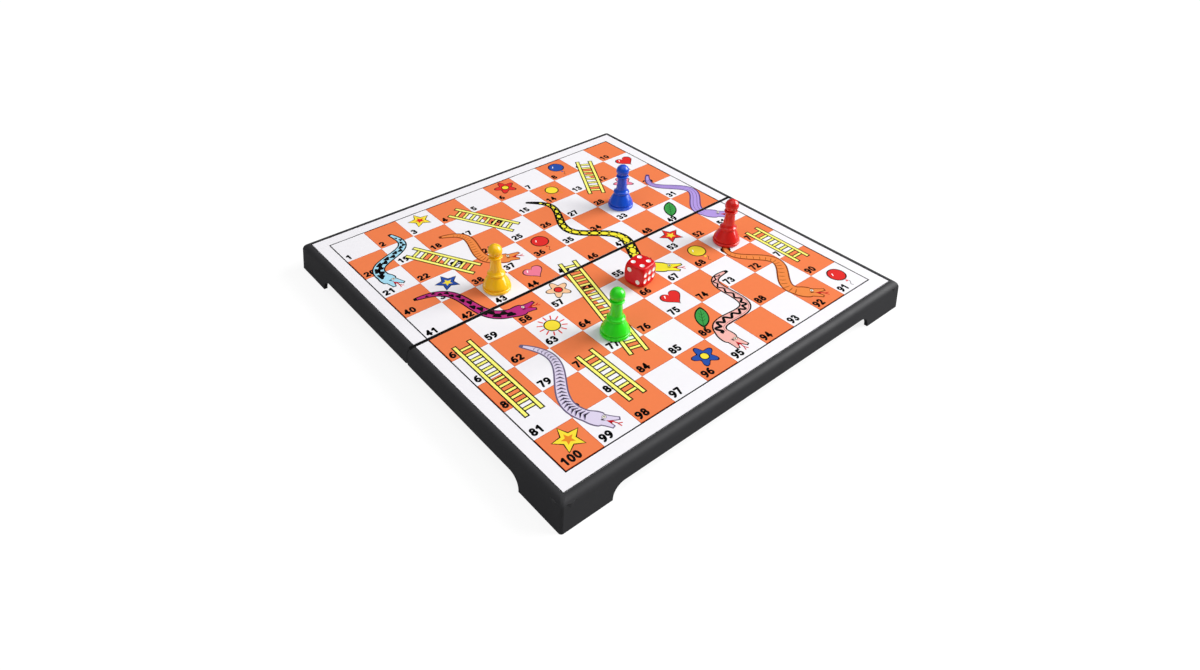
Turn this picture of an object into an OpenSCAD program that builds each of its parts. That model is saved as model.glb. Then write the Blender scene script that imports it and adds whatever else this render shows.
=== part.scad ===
// Folding snakes and ladders board: two moulded halves on link hinges, a steel
// sheet and a printed sheet in each, four pegs with a magnet in the foot, one die.
// Millimetres, +Z up. X runs along the hinge, the far half lies at +Y, and the
// origin is on the floor below the middle of the hinge.

/* [Case] */
// Width of the board along the hinge
board_w = 250; // [220:1:300]
// Length of the open board across the hinge
board_l = 250; // [220:1:300]
// Height of the playing surface above the floor
case_h = 17; // [15:0.5:22]
// Thickness of the outer walls
wall_t = 2; // [1.4:0.1:2.6]
// Thickness of the top panel, with the recess for the sheets
panel_t = 2.4; // [2:0.1:3.4]
// Radius of the rounded shoulder between panel and wall
shoulder_r = 3.8; // [3:0.1:4.6]
// Lean of the outer walls, in degrees
wall_lean = 7; // [3:1:10]
// Radius that rounds each upright corner
corner_r = 1.6; // [1:0.1:3]
// Gap between the two halves along the seam
seam_gap = 0.4; // [0.2:0.1:0.8]
// Radius on the lower edges of the seam
seam_r = 1.2; // [0.6:0.1:2]

/* [Feet] */
// Length of each foot from the corner, along the floor
foot_l = 29.5; // [22:0.5:40]
// Height of the shallow notch between two feet, and radius of its round ends
notch_h = 7.5; // [6:0.5:9]

/* [Storage rim] */
// Distance from the outer edge to the rim round the storage space
rim_inset = 12; // [11:0.5:16]
// Thickness of the storage rim
rim_t = 1.6; // [1.2:0.1:2.4]
// Distance from the seam to the rim
rim_seam = 7.2; // [7:0.1:12]
// Gap left below the rim, so that only the feet touch
rim_gap = 0.4; // [0.2:0.1:1]
// Number of stiffening webs along each side of the storage rim
web_count = 5; // [2:1:8]
// Thickness of a web
web_t = 1.2; // [0.8:0.1:2]

/* [Hinge] */
// Distance between the two pins of a hinge link
pin_pitch = 5; // [4.6:0.1:5.6]
// Gap left between the feet of the two halves when folded
fold_gap = 0.2; // [0.1:0.05:0.4]
// Gap between a hinge eye and the floor
eye_floor_gap = 0.2; // [0.1:0.05:0.4]
// Diameter of a hinge pin
pin_d = 2; // [1.6:0.1:2.4]
// Radial play of a link on its pin
pin_play = 0.06; // [0.03:0.01:0.1]
// Radial play of a pin in the ears that hold it
ear_play = 0.02; // [0.01:0.01:0.05]
// Width of a hinge link
link_w = 30; // [16:1:50]
// Width of an ear
ear_w = 5; // [3:0.5:8]
// Side gap between link and ear
ear_gap = 0.3; // [0.2:0.05:0.5]
// Distance of each hinge from the middle of the board
hinge_x = 70; // [40:1:85]

/* [Sheets] */
// Width of the black lip that frames the sheets on the outer sides
rim_lip = 0.7; // [0.4:0.1:1.2]
// Width of the black lip along the seam
seam_lip = 0.8; // [0.5:0.1:1.2]
// Thickness of the steel sheet that holds the magnets of the pegs
steel_t = 0.3; // [0.2:0.05:0.5]
// Thickness of the printed sheet
print_t = 0.4; // [0.3:0.05:0.6]
// Gap round a sheet in its recess
sheet_play = 0.1; // [0.05:0.05:0.3]
// Thickness of a layer of printing ink
ink_t = 0.05; // [0.03:0.01:0.1]

/* [Squares and figures] */
// Squares along each side
squares = 10; // [10]
// Width of the white border round the field of squares
border_w = 8.45; // [5:0.05:15]
// Width of a ladder over its rails
ladder_w = 12; // [8:0.5:14]
// Width of a ladder rail
rail_w = 2.9; // [1.2:0.1:3.4]
// Width of a rung
rung_w = 2.6; // [1:0.1:3]
// Distance from rung to rung
rung_pitch = 4.65; // [4:0.05:8]
// Widest part of a snake's body
snake_w = 6.8; // [4:0.2:9]
// Sideways swing of a snake's body
snake_swing = 7.5; // [3:0.5:9]

/* [Pegs] */
// Height of a peg
peg_h = 28.5; // [26:0.5:36]
// Diameter of the foot disc
peg_foot_d = 16; // [14:0.5:19]
// Height of the foot disc
peg_foot_h = 2.2; // [2:0.1:3.4]
// Diameter of the ball head
peg_head_d = 8; // [6.5:0.1:9]
// Diameter of the small collar under the head
peg_collar_d = 7.8; // [6.5:0.1:8.5]
// Diameter of the ring round the waist
peg_ring_d = 10; // [9:0.1:12]
// Thickness of the ring round the waist
peg_ring_h = 2; // [1.6:0.1:3]
// Height of the slope from the middle of the ring up to the stem
peg_slope_h = 2.6; // [2:0.1:4]
// Diameter of the stem where it leaves the slope
peg_stem_d = 6.8; // [6:0.1:8]
// Diameter of the stem below the collar
peg_neck_d = 5.4; // [4.6:0.1:6]
// Diameter of a peg's magnet
peg_magnet_d = 6; // [4:0.5:8]
// Thickness of a peg's magnet
peg_magnet_t = 2; // [1:0.1:2.2]

/* [Die] */
// Edge length of the die
die_s = 13; // [11:0.5:16]
// Diameter of the ball that rounds off the die's corners
die_ball_d = 19.1; // [18.5:0.1:20]
// Radius of a pip on the surface
pip_r = 1.35; // [0.8:0.05:1.45]
// Radius of a pip at its bottom
pip_floor_r = 0.8; // [0.5:0.05:0.8]
// Depth of a pip
pip_depth = 0.5; // [0.3:0.05:0.8]
// Thickness of the paint in a pip
pip_paint_t = 0.2; // [0.1:0.05:0.25]
// Distance of the outer pips from the middle of a face
pip_step = 3; // [2.9:0.1:3.2]
// Turn of the die on the board, in degrees
die_turn = 11; // [0:1:45]

/* [Closing magnets] */
// Diameter of a closing magnet
close_magnet_d = 6; // [4:0.5:7]
// Thickness of a closing magnet
close_magnet_t = 2; // [1:0.1:4]
// Radius of the boss that holds a closing magnet
boss_r = 5.5; // [4.5:0.1:6]
// Distance from the board's edges to the middle of a boss
boss_inset = 7; // [6.5:0.1:8]
// Gap round a magnet in its pocket
magnet_play = 0.05; // [0.02:0.01:0.1]

/* [Hidden] */
$fn = 64;

// Overrun of every cut and depth to which added walls run into what carries them
over = 0.5;

// Cross-section of the case: how far the wall and the shoulder draw in, up to the panel
function draw_in(h, r) = r * cos(wall_lean) + (h - r + r * sin(wall_lean)) * tan(wall_lean);
case_inset = draw_in(case_h, shoulder_r);
inner_r = shoulder_r - wall_t;
inner_h = case_h - panel_t;
top_x = board_w / 2 - case_inset;
top_y = board_l / 2 - case_inset;
// Flats that round an upright corner, and steps by which each follows the shoulder
corner_cuts = 3;
corner_steps = 16;

// Feet and notches
notch_x = board_w / 2 - foot_l - notch_h;
notch_y = board_l / 2 - foot_l - notch_h;

// Storage rim
rim_x = board_w / 2 - rim_inset;
rim_y = board_l / 2 - rim_inset;

// Hinge: the pins lie as far above the floor as from the seam, so that the feet meet when folded
pin_y = pin_pitch / 2;
pin_z = pin_y - fold_gap / 2;
eye_r = pin_z - eye_floor_gap;
pin_l = link_w + 2 * ear_gap + 2 * ear_w;

// Sheets
recess_z = case_h - steel_t - print_t;
sheet_x = top_x - rim_lip - sheet_play;
sheet_y0 = seam_gap / 2 + seam_lip + sheet_play;
sheet_y1 = top_y - rim_lip - sheet_play;
ink_top = case_h + 2 * ink_t;

// Field of squares
cell_x = 2 * (sheet_x - border_w) / squares;
cell_y = 2 * (sheet_y1 - border_w) / squares;

// Ladders, in squares from the far left corner: foot column and row, top column and row
ladder_shares = [
    [3.5, 0.6, 4.5, 2.4],
    [1.5, 1.6, 2.5, 3.4],
    [8.5, 0.6, 7.5, 2.4],
    [4.5, 4.6, 3.5, 8.4],
    [0.5, 5.6, 0.5, 8.4],
    [9.5, 6.6, 9.5, 8.4],
    [2.5, 7.6, 2.5, 9.4]
];
// Snakes, in squares: head column and row, tail column and row, number of waves
snake_shares = [
    [6.5, 6.5, 5.5, 1.5, 2],
    [9.5, 5.5, 9.5, 2.5, 1.5],
    [0.5, 2.5, 1.5, 0.5, 1],
    [5.5, 9.5, 7.5, 7.5, 1.5],
    [1.5, 9.5, 1.5, 6.5, 1],
    [2.5, 5.5, 0.5, 3.5, 1],
    [3.5, 3.5, 2.5, 1.5, 1],
    [8.5, 9.5, 8.5, 6.5, 1.5]
];
snake_steps = 40;
// Length of the rounded snout, length of the head and bulge of the head, as shares of the snake
snout_share = 0.03;
head_share = 0.12;
bulge_share = 0.25;
// Power by which a snake thins towards its tail
tail_power = 0.42;

// Top of the skirt, ring and collar of a peg, and half the collar, as shares of its height
waist_share = 0.316;
ring_share = 0.351;
collar_share = 0.73;
collar_half_share = 0.0225;
skirt_steps = 10;
peg_skirt_z = peg_h * waist_share;
peg_ring_z = peg_h * ring_share;
peg_collar_z = peg_h * collar_share;
peg_collar_r = peg_h * collar_half_share;
peg_head_z = peg_h - peg_head_d / 2;
// Where the slope above the ring leaves it, in from its edge and up from its middle
slope_share = 0.33;
slope_start = peg_ring_h * slope_share;
// Skirt and groove as shares of the foot disc's radius, waist as a share of the ring's
skirt_share = 0.965;
groove_share = 0.9;
waist_r_share = 0.9;
skirt_power = 1.2;
skirt_x = peg_foot_d / 2 * skirt_share;
groove_r = peg_foot_d / 2 * groove_share;
waist_x = peg_ring_d / 2 * waist_r_share;
// Rounding and groove of the foot disc, as shares of its height
foot_round_share = 0.3;
groove_h_share = 0.25;
peg_foot_r = peg_foot_h * foot_round_share;
groove_h = peg_foot_h * groove_h_share;

// Places of the pegs and the die, in squares from the far left corner
yellow_shares = [2.41, 4.37];
blue_shares = [7.58, 3.34];
red_shares = [8.53, 6.54];
green_shares = [3.54, 7.52];
die_shares = [5.42, 6.38];

// Pips of a die as steps from the middle of the face
one_shares = [[0, 0]];
two_shares = [[-1, -1], [1, 1]];
three_shares = [[-1, 1], [0, 0], [1, -1]];
four_shares = [[-1, -1], [-1, 1], [1, -1], [1, 1]];
five_shares = [[-1, -1], [-1, 1], [0, 0], [1, -1], [1, 1]];
// Spread of the six along its rows and between them, against the other faces' step
six_wide_share = 1.3;
six_close_share = 0.7;
six_shares = [for (row = [-1, 1], place = [-1, 0, 1]) [place * six_wide_share, row * six_close_share]];
// Growth of a pip's radius per unit of height
pip_slope = (pip_r - pip_floor_r) / pip_depth;

function square_at(s) = [(s[0] - squares / 2) * cell_x, (squares / 2 - s[1]) * cell_y];

// Shapes of the case

// Cross-section of the case, with leaning walls and round shoulders
module case_section(half, h, r) {
    edge = half - draw_in(h, r);
    wall_u = edge + r * cos(wall_lean);
    wall_v = h - r + r * sin(wall_lean);
    polygon([[-half, 0], [half, 0], [wall_u, wall_v], [edge, h], [-edge, h], [-wall_u, wall_v]]);
    for (side = [-1, 1])
        translate([side * edge, h - r])
            circle(r = r);
}

// Body with that section both ways
module mound(half_x, half_y, h, r) {
    intersection() {
        rotate([90, 0, 0])
            linear_extrude(2 * board_l, center = true)
                case_section(half_x, h, r);
        rotate([90, 0, 90])
            linear_extrude(2 * board_w, center = true)
                case_section(half_y, h, r);
    }
}

// Wedge that trims an upright corner square to one direction, following wall and shoulder
module corner_cutter(turn) {
    reach = cos(turn) + sin(turn);
    trim = corner_r * (reach - 1);
    arc = [for (k = [0:corner_steps]) let (a = wall_lean + (90 - wall_lean) * k / corner_steps)
        [-reach * (case_inset - shoulder_r * cos(a)) - trim,
            case_h - shoulder_r + shoulder_r * sin(a)]];
    rotate([90, 0, turn])
        linear_extrude(2 * case_h, center = true)
            polygon(concat([[shoulder_r, -over], [-trim, -over], [-trim, 0]], arc,
                [[-reach * case_inset - trim, case_h + over], [shoulder_r, case_h + over]]));
}

// Opening of a notch, with round ends
module notch_section(half) {
    translate([-half, -over])
        square([2 * half, notch_h + over]);
    for (side = [-1, 1])
        translate([side * half, 0])
            circle(r = notch_h);
}

// Lug with a round eye that holds a pin, seen along the hinge
module ear_section() {
    translate([pin_y, pin_z])
        circle(r = eye_r);
    translate([pin_y - eye_r, pin_z])
        square([2 * eye_r, inner_h + over - pin_z]);
    polygon([[pin_y + eye_r - over, notch_h], [rim_seam + over, notch_h + over],
        [rim_seam + over, inner_h + over], [pin_y + eye_r - over, inner_h + over]]);
}

module rim() {
    translate([0, 0, rim_gap])
        linear_extrude(inner_h + over - rim_gap)
            difference() {
                translate([-rim_x, rim_seam])
                    square([2 * rim_x, rim_y - rim_seam]);
                translate([-rim_x + rim_t, rim_seam + rim_t])
                    square([2 * (rim_x - rim_t), rim_y - rim_seam - 2 * rim_t]);
            }
}

// Webs between the rim and the outer walls, above the notches
module webs() {
    web_z = notch_h + over;
    web_l = rim_inset - wall_t;
    for (k = [1:web_count]) {
        web_x = -rim_x + 2 * rim_x * k / (web_count + 1);
        translate([web_x - web_t / 2, rim_y - over, web_z])
            cube([web_t, web_l - case_inset / 2 + over, inner_h + over - web_z]);
    }
    for (k = [1:2 * floor(web_count / 2)], side = [-1, 1]) {
        web_y = rim_seam + (rim_y - rim_seam) * k / (2 * floor(web_count / 2) + 1);
        web_x = side > 0 ? rim_x - over : -rim_x + over - (web_l - case_inset / 2 + over);
        translate([web_x, web_y - web_t / 2, web_z])
            cube([web_l - case_inset / 2 + over, web_t, inner_h + over - web_z]);
    }
}

module case_half() {
    difference() {
        union() {
            difference() {
                intersection() {
                    mound(board_w / 2, board_l / 2, case_h, shoulder_r);
                    translate([-board_w, seam_gap / 2, 0])
                        cube([2 * board_w, board_l, case_h]);
                }
                // Hollow below the panel
                intersection() {
                    translate([0, 0, -over])
                        mound(board_w / 2 - wall_t, board_l / 2 - wall_t, inner_h + over, inner_r);
                    translate([-board_w, seam_gap / 2 + wall_t, -2 * over])
                        cube([2 * board_w, board_l, case_h]);
                }
                // Notches through all walls
                rotate([90, 0, 0])
                    linear_extrude(2 * board_l, center = true)
                        notch_section(notch_x);
                rotate([90, 0, 90])
                    linear_extrude(2 * board_w, center = true)
                        notch_section(notch_y);
                // Round lower edge along the seam
                translate([0, seam_gap / 2, notch_h])
                    rotate([90, 0, 90])
                        linear_extrude(2 * board_w, center = true)
                            difference() {
                                translate([-over, -over])
                                    square([seam_r + over, seam_r + over]);
                                translate([seam_r, seam_r])
                                    circle(r = seam_r);
                            }
                for (side = [0, 1])
                    mirror([side, 0, 0])
                        translate([board_w / 2, board_l / 2, 0])
                            for (k = [1:corner_cuts])
                                corner_cutter(90 * k / (corner_cuts + 1));
            }
            rim();
            webs();
            for (side = [-1, 1]) {
                translate([side * (board_w / 2 - boss_inset), board_l / 2 - boss_inset, 0])
                    cylinder(r = boss_r, h = inner_h + over);
                for (end = [-1, 1])
                    translate([side * hinge_x + end * (link_w / 2 + ear_gap + ear_w / 2), 0, 0])
                        rotate([90, 0, 90])
                            linear_extrude(ear_w, center = true)
                                ear_section();
            }
        }
        // Recess for the two sheets
        translate([-(top_x - rim_lip), seam_gap / 2 + seam_lip, recess_z])
            cube([2 * (top_x - rim_lip), top_y - rim_lip - seam_gap / 2 - seam_lip, case_h]);
        // Magnet pockets and pin bores
        for (side = [-1, 1]) {
            translate([side * (board_w / 2 - boss_inset), board_l / 2 - boss_inset, -over])
                cylinder(d = close_magnet_d + 2 * magnet_play, h = over + fold_gap + close_magnet_t);
            translate([side * hinge_x - pin_l / 2 - over, pin_y, pin_z])
                rotate([0, 90, 0])
                    cylinder(d = pin_d + 2 * ear_play, h = pin_l + 2 * over);
        }
    }
}

module far_case() {
    color("#2b2b2d") case_half();
}

module near_case() {
    color("#2b2b2d") mirror([0, 1, 0]) case_half();
}

// Sheets and printing

module steel_sheet() {
    translate([-sheet_x, sheet_y0, recess_z])
        cube([2 * sheet_x, sheet_y1 - sheet_y0, steel_t]);
}

module far_steel_sheet() {
    color("#b9bcc0") steel_sheet();
}

module near_steel_sheet() {
    color("#b9bcc0") mirror([0, 1, 0]) steel_sheet();
}

module print_sheet() {
    translate([-sheet_x, sheet_y0, recess_z + steel_t])
        cube([2 * sheet_x, sheet_y1 - sheet_y0, print_t]);
}

module far_print_sheet() {
    color("#f2f0f4") print_sheet();
}

module near_print_sheet() {
    color("#f2f0f4") mirror([0, 1, 0]) print_sheet();
}

// Printable face of one half: side is 1 for the far half and -1 for the near one
module print_face(side) {
    translate([-sheet_x, side > 0 ? sheet_y0 : -sheet_y1])
        square([2 * sheet_x, sheet_y1 - sheet_y0]);
}

module orange_squares(side) {
    translate([0, 0, case_h])
        linear_extrude(ink_t)
            intersection() {
                print_face(side);
                for (i = [0:squares - 1], j = [0:squares - 1])
                    if ((i + j) % 2 == 1)
                        translate([(i - squares / 2) * cell_x, (squares / 2 - 1 - j) * cell_y])
                            square([cell_x, cell_y]);
            }
}

module far_orange_squares() {
    color("#f38c5a") orange_squares(1);
}

module near_orange_squares() {
    color("#f38c5a") orange_squares(-1);
}

// Ladder from one place to another, with evenly spaced rungs
module ladder(foot, top) {
    run = norm(top - foot);
    rungs = floor((run - rung_pitch) / rung_pitch);
    step = run / (rungs + 1);
    translate(foot)
        rotate(atan2(top[1] - foot[1], top[0] - foot[0])) {
            for (side = [-1, 1])
                translate([0, side * (ladder_w - rail_w) / 2 - rail_w / 2])
                    square([run, rail_w]);
            for (k = [1:rungs])
                translate([k * step - rung_w / 2, -ladder_w / 2 + rail_w / 2])
                    square([rung_w, ladder_w - rail_w]);
        }
}

module ladders(side) {
    translate([0, 0, case_h + ink_t])
        linear_extrude(ink_t)
            intersection() {
                print_face(side);
                for (s = ladder_shares)
                    ladder(square_at([s[0], s[1]]), square_at([s[2], s[3]]));
            }
}

module far_ladders() {
    color("#f4ee6a") ladders(1);
}

module near_ladders() {
    color("#f4ee6a") ladders(-1);
}

// Half width of a snake at share t of its length: round snout, wide head, thin tail
function snake_half(t) = snake_w / 2 * min(1, sqrt(t / snout_share)) * pow(1 - t, tail_power)
    * (1 + bulge_share * (t < head_share ? sin(180 * t / head_share) : 0));

// Outline of a snake: a sine wave from head to tail, with its half width either side
module snake(head, tail, waves) {
    run = norm(tail - head);
    along = (tail - head) / run;
    across = [-along[1], along[0]];
    mid = [for (k = [0:snake_steps]) let (t = k / snake_steps)
        head + along * run * t + across * snake_swing * sin(360 * waves * t)];
    left = [for (k = [0:snake_steps]) let (t = k / snake_steps,
        slope = [run, snake_swing * 2 * PI * waves * cos(360 * waves * t)] / run,
        n = (across - along * slope[1]) / norm(slope)) mid[k] + n * snake_half(t)];
    right = [for (k = [snake_steps - 1:-1:1]) let (t = k / snake_steps,
        slope = [run, snake_swing * 2 * PI * waves * cos(360 * waves * t)] / run,
        n = (across - along * slope[1]) / norm(slope)) mid[k] - n * snake_half(t)];
    polygon(concat(left, right));
}

module snakes(side) {
    translate([0, 0, case_h + ink_t])
        linear_extrude(ink_t)
            intersection() {
                print_face(side);
                for (s = snake_shares)
                    snake(square_at([s[0], s[1]]), square_at([s[2], s[3]]), s[4]);
            }
}

module far_snakes() {
    color("#c9577a") snakes(1);
}

module near_snakes() {
    color("#c9577a") snakes(-1);
}

// Hinges

module hinge_link() {
    rotate([90, 0, 90])
        linear_extrude(link_w, center = true)
            difference() {
                union() {
                    for (side = [-1, 1])
                        translate([side * pin_y, pin_z])
                            circle(r = eye_r);
                    translate([-pin_y, pin_z - eye_r])
                        square([pin_pitch, 2 * eye_r]);
                }
                for (side = [-1, 1])
                    translate([side * pin_y, pin_z])
                        circle(d = pin_d + 2 * pin_play);
            }
}

module hinge_link_left() {
    color("#3a3a3d") translate([-hinge_x, 0, 0]) hinge_link();
}

module hinge_link_right() {
    color("#3a3a3d") translate([hinge_x, 0, 0]) hinge_link();
}

module hinge_pins() {
    for (side = [-1, 1])
        translate([side * hinge_x - pin_l / 2, pin_y, pin_z])
            rotate([0, 90, 0])
                cylinder(d = pin_d, h = pin_l);
}

module far_hinge_pins() {
    color("#c4c6ca") hinge_pins();
}

module near_hinge_pins() {
    color("#c4c6ca") mirror([0, 1, 0]) hinge_pins();
}

module closing_magnets() {
    for (side = [-1, 1])
        translate([side * (board_w / 2 - boss_inset), board_l / 2 - boss_inset, fold_gap])
            cylinder(d = close_magnet_d, h = close_magnet_t);
}

module far_closing_magnets() {
    color("#8f9296") closing_magnets();
}

module near_closing_magnets() {
    color("#8f9296") mirror([0, 1, 0]) closing_magnets();
}

// Pegs

// Half section of a peg: foot disc, groove, flared skirt, waist ring, stem, collar and ball head
module peg_section() {
    foot_x = peg_foot_d / 2;
    skirt_z = peg_foot_h + groove_h;
    // Skirt with nearly straight sides, a little hollow towards the waist
    skirt = [for (k = [0:skirt_steps]) let (t = k / skirt_steps)
        [waist_x + (skirt_x - waist_x) * (1 - pow(t, skirt_power)), skirt_z + (peg_skirt_z - skirt_z) * t]];
    square([foot_x - peg_foot_r, peg_foot_h]);
    square([foot_x, peg_foot_h - peg_foot_r]);
    translate([foot_x - peg_foot_r, peg_foot_h - peg_foot_r])
        circle(r = peg_foot_r);
    square([groove_r, skirt_z + groove_h]);
    polygon(concat([[0, skirt_z]], skirt, [[0, peg_skirt_z]]));
    translate([peg_ring_d / 2 - peg_ring_h / 2, peg_ring_z])
        circle(d = peg_ring_h);
    translate([0, peg_skirt_z - over])
        square([peg_ring_d / 2 - peg_ring_h / 2, peg_ring_z + peg_ring_h / 2 - peg_skirt_z + over]);
    polygon([[0, peg_ring_z], [peg_ring_d / 2 - slope_start, peg_ring_z + slope_start],
        [peg_stem_d / 2, peg_ring_z + peg_slope_h], [peg_neck_d / 2, peg_collar_z], [0, peg_collar_z]]);
    translate([0, peg_collar_z - peg_collar_r])
        square([peg_collar_d / 2 - peg_collar_r, 2 * peg_collar_r]);
    translate([peg_collar_d / 2 - peg_collar_r, peg_collar_z])
        circle(r = peg_collar_r);
    translate([0, peg_collar_z])
        square([peg_neck_d / 2, peg_head_z - peg_collar_z]);
    intersection() {
        translate([0, peg_head_z])
            circle(d = peg_head_d);
        translate([0, peg_head_z - peg_head_d])
            square([peg_head_d, 2 * peg_head_d]);
    }
}

module peg() {
    translate([0, 0, ink_top])
        difference() {
            rotate_extrude()
                peg_section();
            translate([0, 0, -over])
                cylinder(d = peg_magnet_d + 2 * magnet_play, h = over + peg_magnet_t + magnet_play);
        }
}

module peg_magnet() {
    translate([0, 0, ink_top])
        cylinder(d = peg_magnet_d, h = peg_magnet_t);
}

module yellow_peg() {
    color("#fbc915") translate(square_at(yellow_shares)) peg();
}

module blue_peg() {
    color("#1f5fc4") translate(square_at(blue_shares)) peg();
}

module red_peg() {
    color("#dc2028") translate(square_at(red_shares)) peg();
}

module green_peg() {
    color("#3fd12c") translate(square_at(green_shares)) peg();
}

module yellow_peg_magnet() {
    color("#8f9296") translate(square_at(yellow_shares)) peg_magnet();
}

module blue_peg_magnet() {
    color("#8f9296") translate(square_at(blue_shares)) peg_magnet();
}

module red_peg_magnet() {
    color("#8f9296") translate(square_at(red_shares)) peg_magnet();
}

module green_peg_magnet() {
    color("#8f9296") translate(square_at(green_shares)) peg_magnet();
}

// Die

// Cube with ball-rounded corners
module die_block() {
    intersection() {
        cube(die_s, center = true);
        sphere(d = die_ball_d);
    }
}

// Cone from the bottom of a pip up to the given height
module pip_cone(h) {
    translate([0, 0, -pip_depth])
        cylinder(r1 = pip_floor_r, r2 = pip_floor_r + pip_slope * h, h = h);
}

// Places one child at every pip: the face's pips, and the turn that brings the top to that face
module at_pips() {
    faces = [
        [four_shares, [0, 0, 0]], [three_shares, [180, 0, 0]],
        [six_shares, [90, 0, 0]], [one_shares, [-90, 0, 0]],
        [two_shares, [0, -90, 0]], [five_shares, [0, 90, 0]]
    ];
    for (f = faces)
        rotate(f[1])
            for (p = f[0])
                translate([p[0] * pip_step, p[1] * pip_step, die_s / 2])
                    children();
}

module place_die() {
    translate(concat(square_at(die_shares), [ink_top + die_s / 2]))
        rotate(die_turn)
            children();
}

module die() {
    color("#d81e26")
        place_die()
            difference() {
                die_block();
                at_pips()
                    pip_cone(pip_depth + over);
            }
}

module die_pips() {
    color("#ffffff")
        place_die()
            at_pips()
                pip_cone(pip_paint_t);
}

far_case();
near_case();
far_steel_sheet();
near_steel_sheet();
far_print_sheet();
near_print_sheet();
far_orange_squares();
near_orange_squares();
far_ladders();
near_ladders();
far_snakes();
near_snakes();
hinge_link_left();
hinge_link_right();
far_hinge_pins();
near_hinge_pins();
far_closing_magnets();
near_closing_magnets();
yellow_peg();
blue_peg();
red_peg();
green_peg();
yellow_peg_magnet();
blue_peg_magnet();
red_peg_magnet();
green_peg_magnet();
die();
die_pips();
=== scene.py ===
# %% [markdown]
# This lesson dresses a folding snakes and ladders board. The board, the pegs and the die
# come from their CAD parts, each already in its place, and every piece made here is set
# on them. The CAD box is kept at the start and printed at the end.

# %% Load the board
import math
import bmesh
import bpy
import numpy as np
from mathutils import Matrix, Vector


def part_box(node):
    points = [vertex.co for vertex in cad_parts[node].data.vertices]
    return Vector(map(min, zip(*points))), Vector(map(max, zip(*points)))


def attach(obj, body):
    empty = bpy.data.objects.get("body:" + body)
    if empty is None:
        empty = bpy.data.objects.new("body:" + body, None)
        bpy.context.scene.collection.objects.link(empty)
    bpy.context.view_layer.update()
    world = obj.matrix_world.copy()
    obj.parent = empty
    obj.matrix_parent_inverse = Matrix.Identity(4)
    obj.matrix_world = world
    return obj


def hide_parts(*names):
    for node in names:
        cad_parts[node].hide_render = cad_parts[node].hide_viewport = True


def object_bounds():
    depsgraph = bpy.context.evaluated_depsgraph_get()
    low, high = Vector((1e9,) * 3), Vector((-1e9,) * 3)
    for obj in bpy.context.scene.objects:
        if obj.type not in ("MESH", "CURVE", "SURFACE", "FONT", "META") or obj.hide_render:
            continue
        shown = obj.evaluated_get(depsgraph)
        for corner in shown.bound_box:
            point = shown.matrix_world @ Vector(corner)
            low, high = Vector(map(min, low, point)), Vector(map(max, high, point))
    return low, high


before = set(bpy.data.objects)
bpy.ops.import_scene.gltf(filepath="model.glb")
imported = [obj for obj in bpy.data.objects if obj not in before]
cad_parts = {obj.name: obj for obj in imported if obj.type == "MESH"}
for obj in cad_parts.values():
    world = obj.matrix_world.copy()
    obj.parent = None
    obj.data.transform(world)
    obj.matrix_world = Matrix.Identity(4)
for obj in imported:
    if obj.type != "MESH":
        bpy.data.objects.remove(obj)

cad_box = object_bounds()
MM = 0.001

# %% [markdown]
# Everything printed on the board is measured from the board itself: how wide the printed
# sheets are, how high their faces lie, and how large a square is. Ten squares span the
# orange field, so its width in tenths gives one square. A place on the field is then
# written as column and row from the far left corner, which is how a player would say it.

# %% Measure the playing field
sheet_low, sheet_high = (np.array(corner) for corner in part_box("far_print_sheet"))
field_low, field_high = (np.array(corner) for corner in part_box("far_orange_squares"))
SHEET_TOP = sheet_high[2]
SHEET_EDGE = sheet_high[0]
SEAM_EDGE = sheet_low[1]
CELL = (field_high[0] - field_low[0]) / 10
FIRST_FILM, FILM = 0.012 * MM, 0.010 * MM


def at(column, row):
    """Place on the field in metres: columns count from five squares left of the middle, and
    rows from five squares beyond it towards the player."""
    return np.array([(column - 5) * CELL, (5 - row) * CELL])


def level(layer):
    """Height of a layer of ink: each lies one film's thickness above the layer before it."""
    return SHEET_TOP + FIRST_FILM + FILM * layer


print("square %.2f mm, sheet edge at %.2f mm" % (CELL / MM, SHEET_EDGE / MM))

# %% [markdown]
# Real print is a film of ink with an edge. Here each printed shape is a very thin closed
# solid, so its outline is crisp from any distance and it stays with the board when it is
# exported. It reaches from the sheet up to its layer, and a shape that is printed later
# has a higher layer, so it covers the ones before. A solid is kept as its points, its
# faces and its colour, and many of them are joined into one mesh. Colours are written as
# a painter's hex code and turned into the linear light that Blender works in.

# %% Colours and rings
def ink(code):
    """Linear colour of a hex code: a channel's share of full light is divided by 12.92 if
    it is small, and otherwise follows the 2.4 power curve."""
    share = np.array([int(code[k:k + 2], 16) for k in (0, 2, 4)]) / 255
    return np.where(share <= 0.04045, share / 12.92, ((share + 0.055) / 1.055) ** 2.4)


def ring_quads(rings, count, closed=False):
    """Quads between neighbouring rings of points, from each point to the next one round,
    and also from the last ring to the first if closed."""
    ring = np.arange(rings if closed else rings - 1)[:, None] * count
    onward = (ring + count) % (rings * count)
    here = np.arange(count)
    ahead = (here + 1) % count
    quads = [ring + here, onward + here, onward + ahead, ring + ahead]
    return np.stack(quads, axis=-1).reshape(-1, 4)


def compass(angle):
    """Point of the unit circle for each angle: its cosine and its sine."""
    return np.column_stack([np.cos(angle), np.sin(angle)])


print("orange in linear light:", ink("ef8150").round(3))

# %% [markdown]
# There are two kinds of shape. A stroke follows a middle line, and this is what ladders,
# snakes, numerals and border lines are made of. Its direction at a point is taken from
# the points before and after, and half the width is stepped off square to it.

# %% Strokes
CAP_ANGLES = np.linspace(0.12, math.pi / 2, 5)


def beside(line, run, offset):
    """The line moved to its left by an offset, square to its direction."""
    return line + np.column_stack([-run[:, 1], run[:, 0]]) * np.reshape(offset, (-1, 1))


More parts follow.
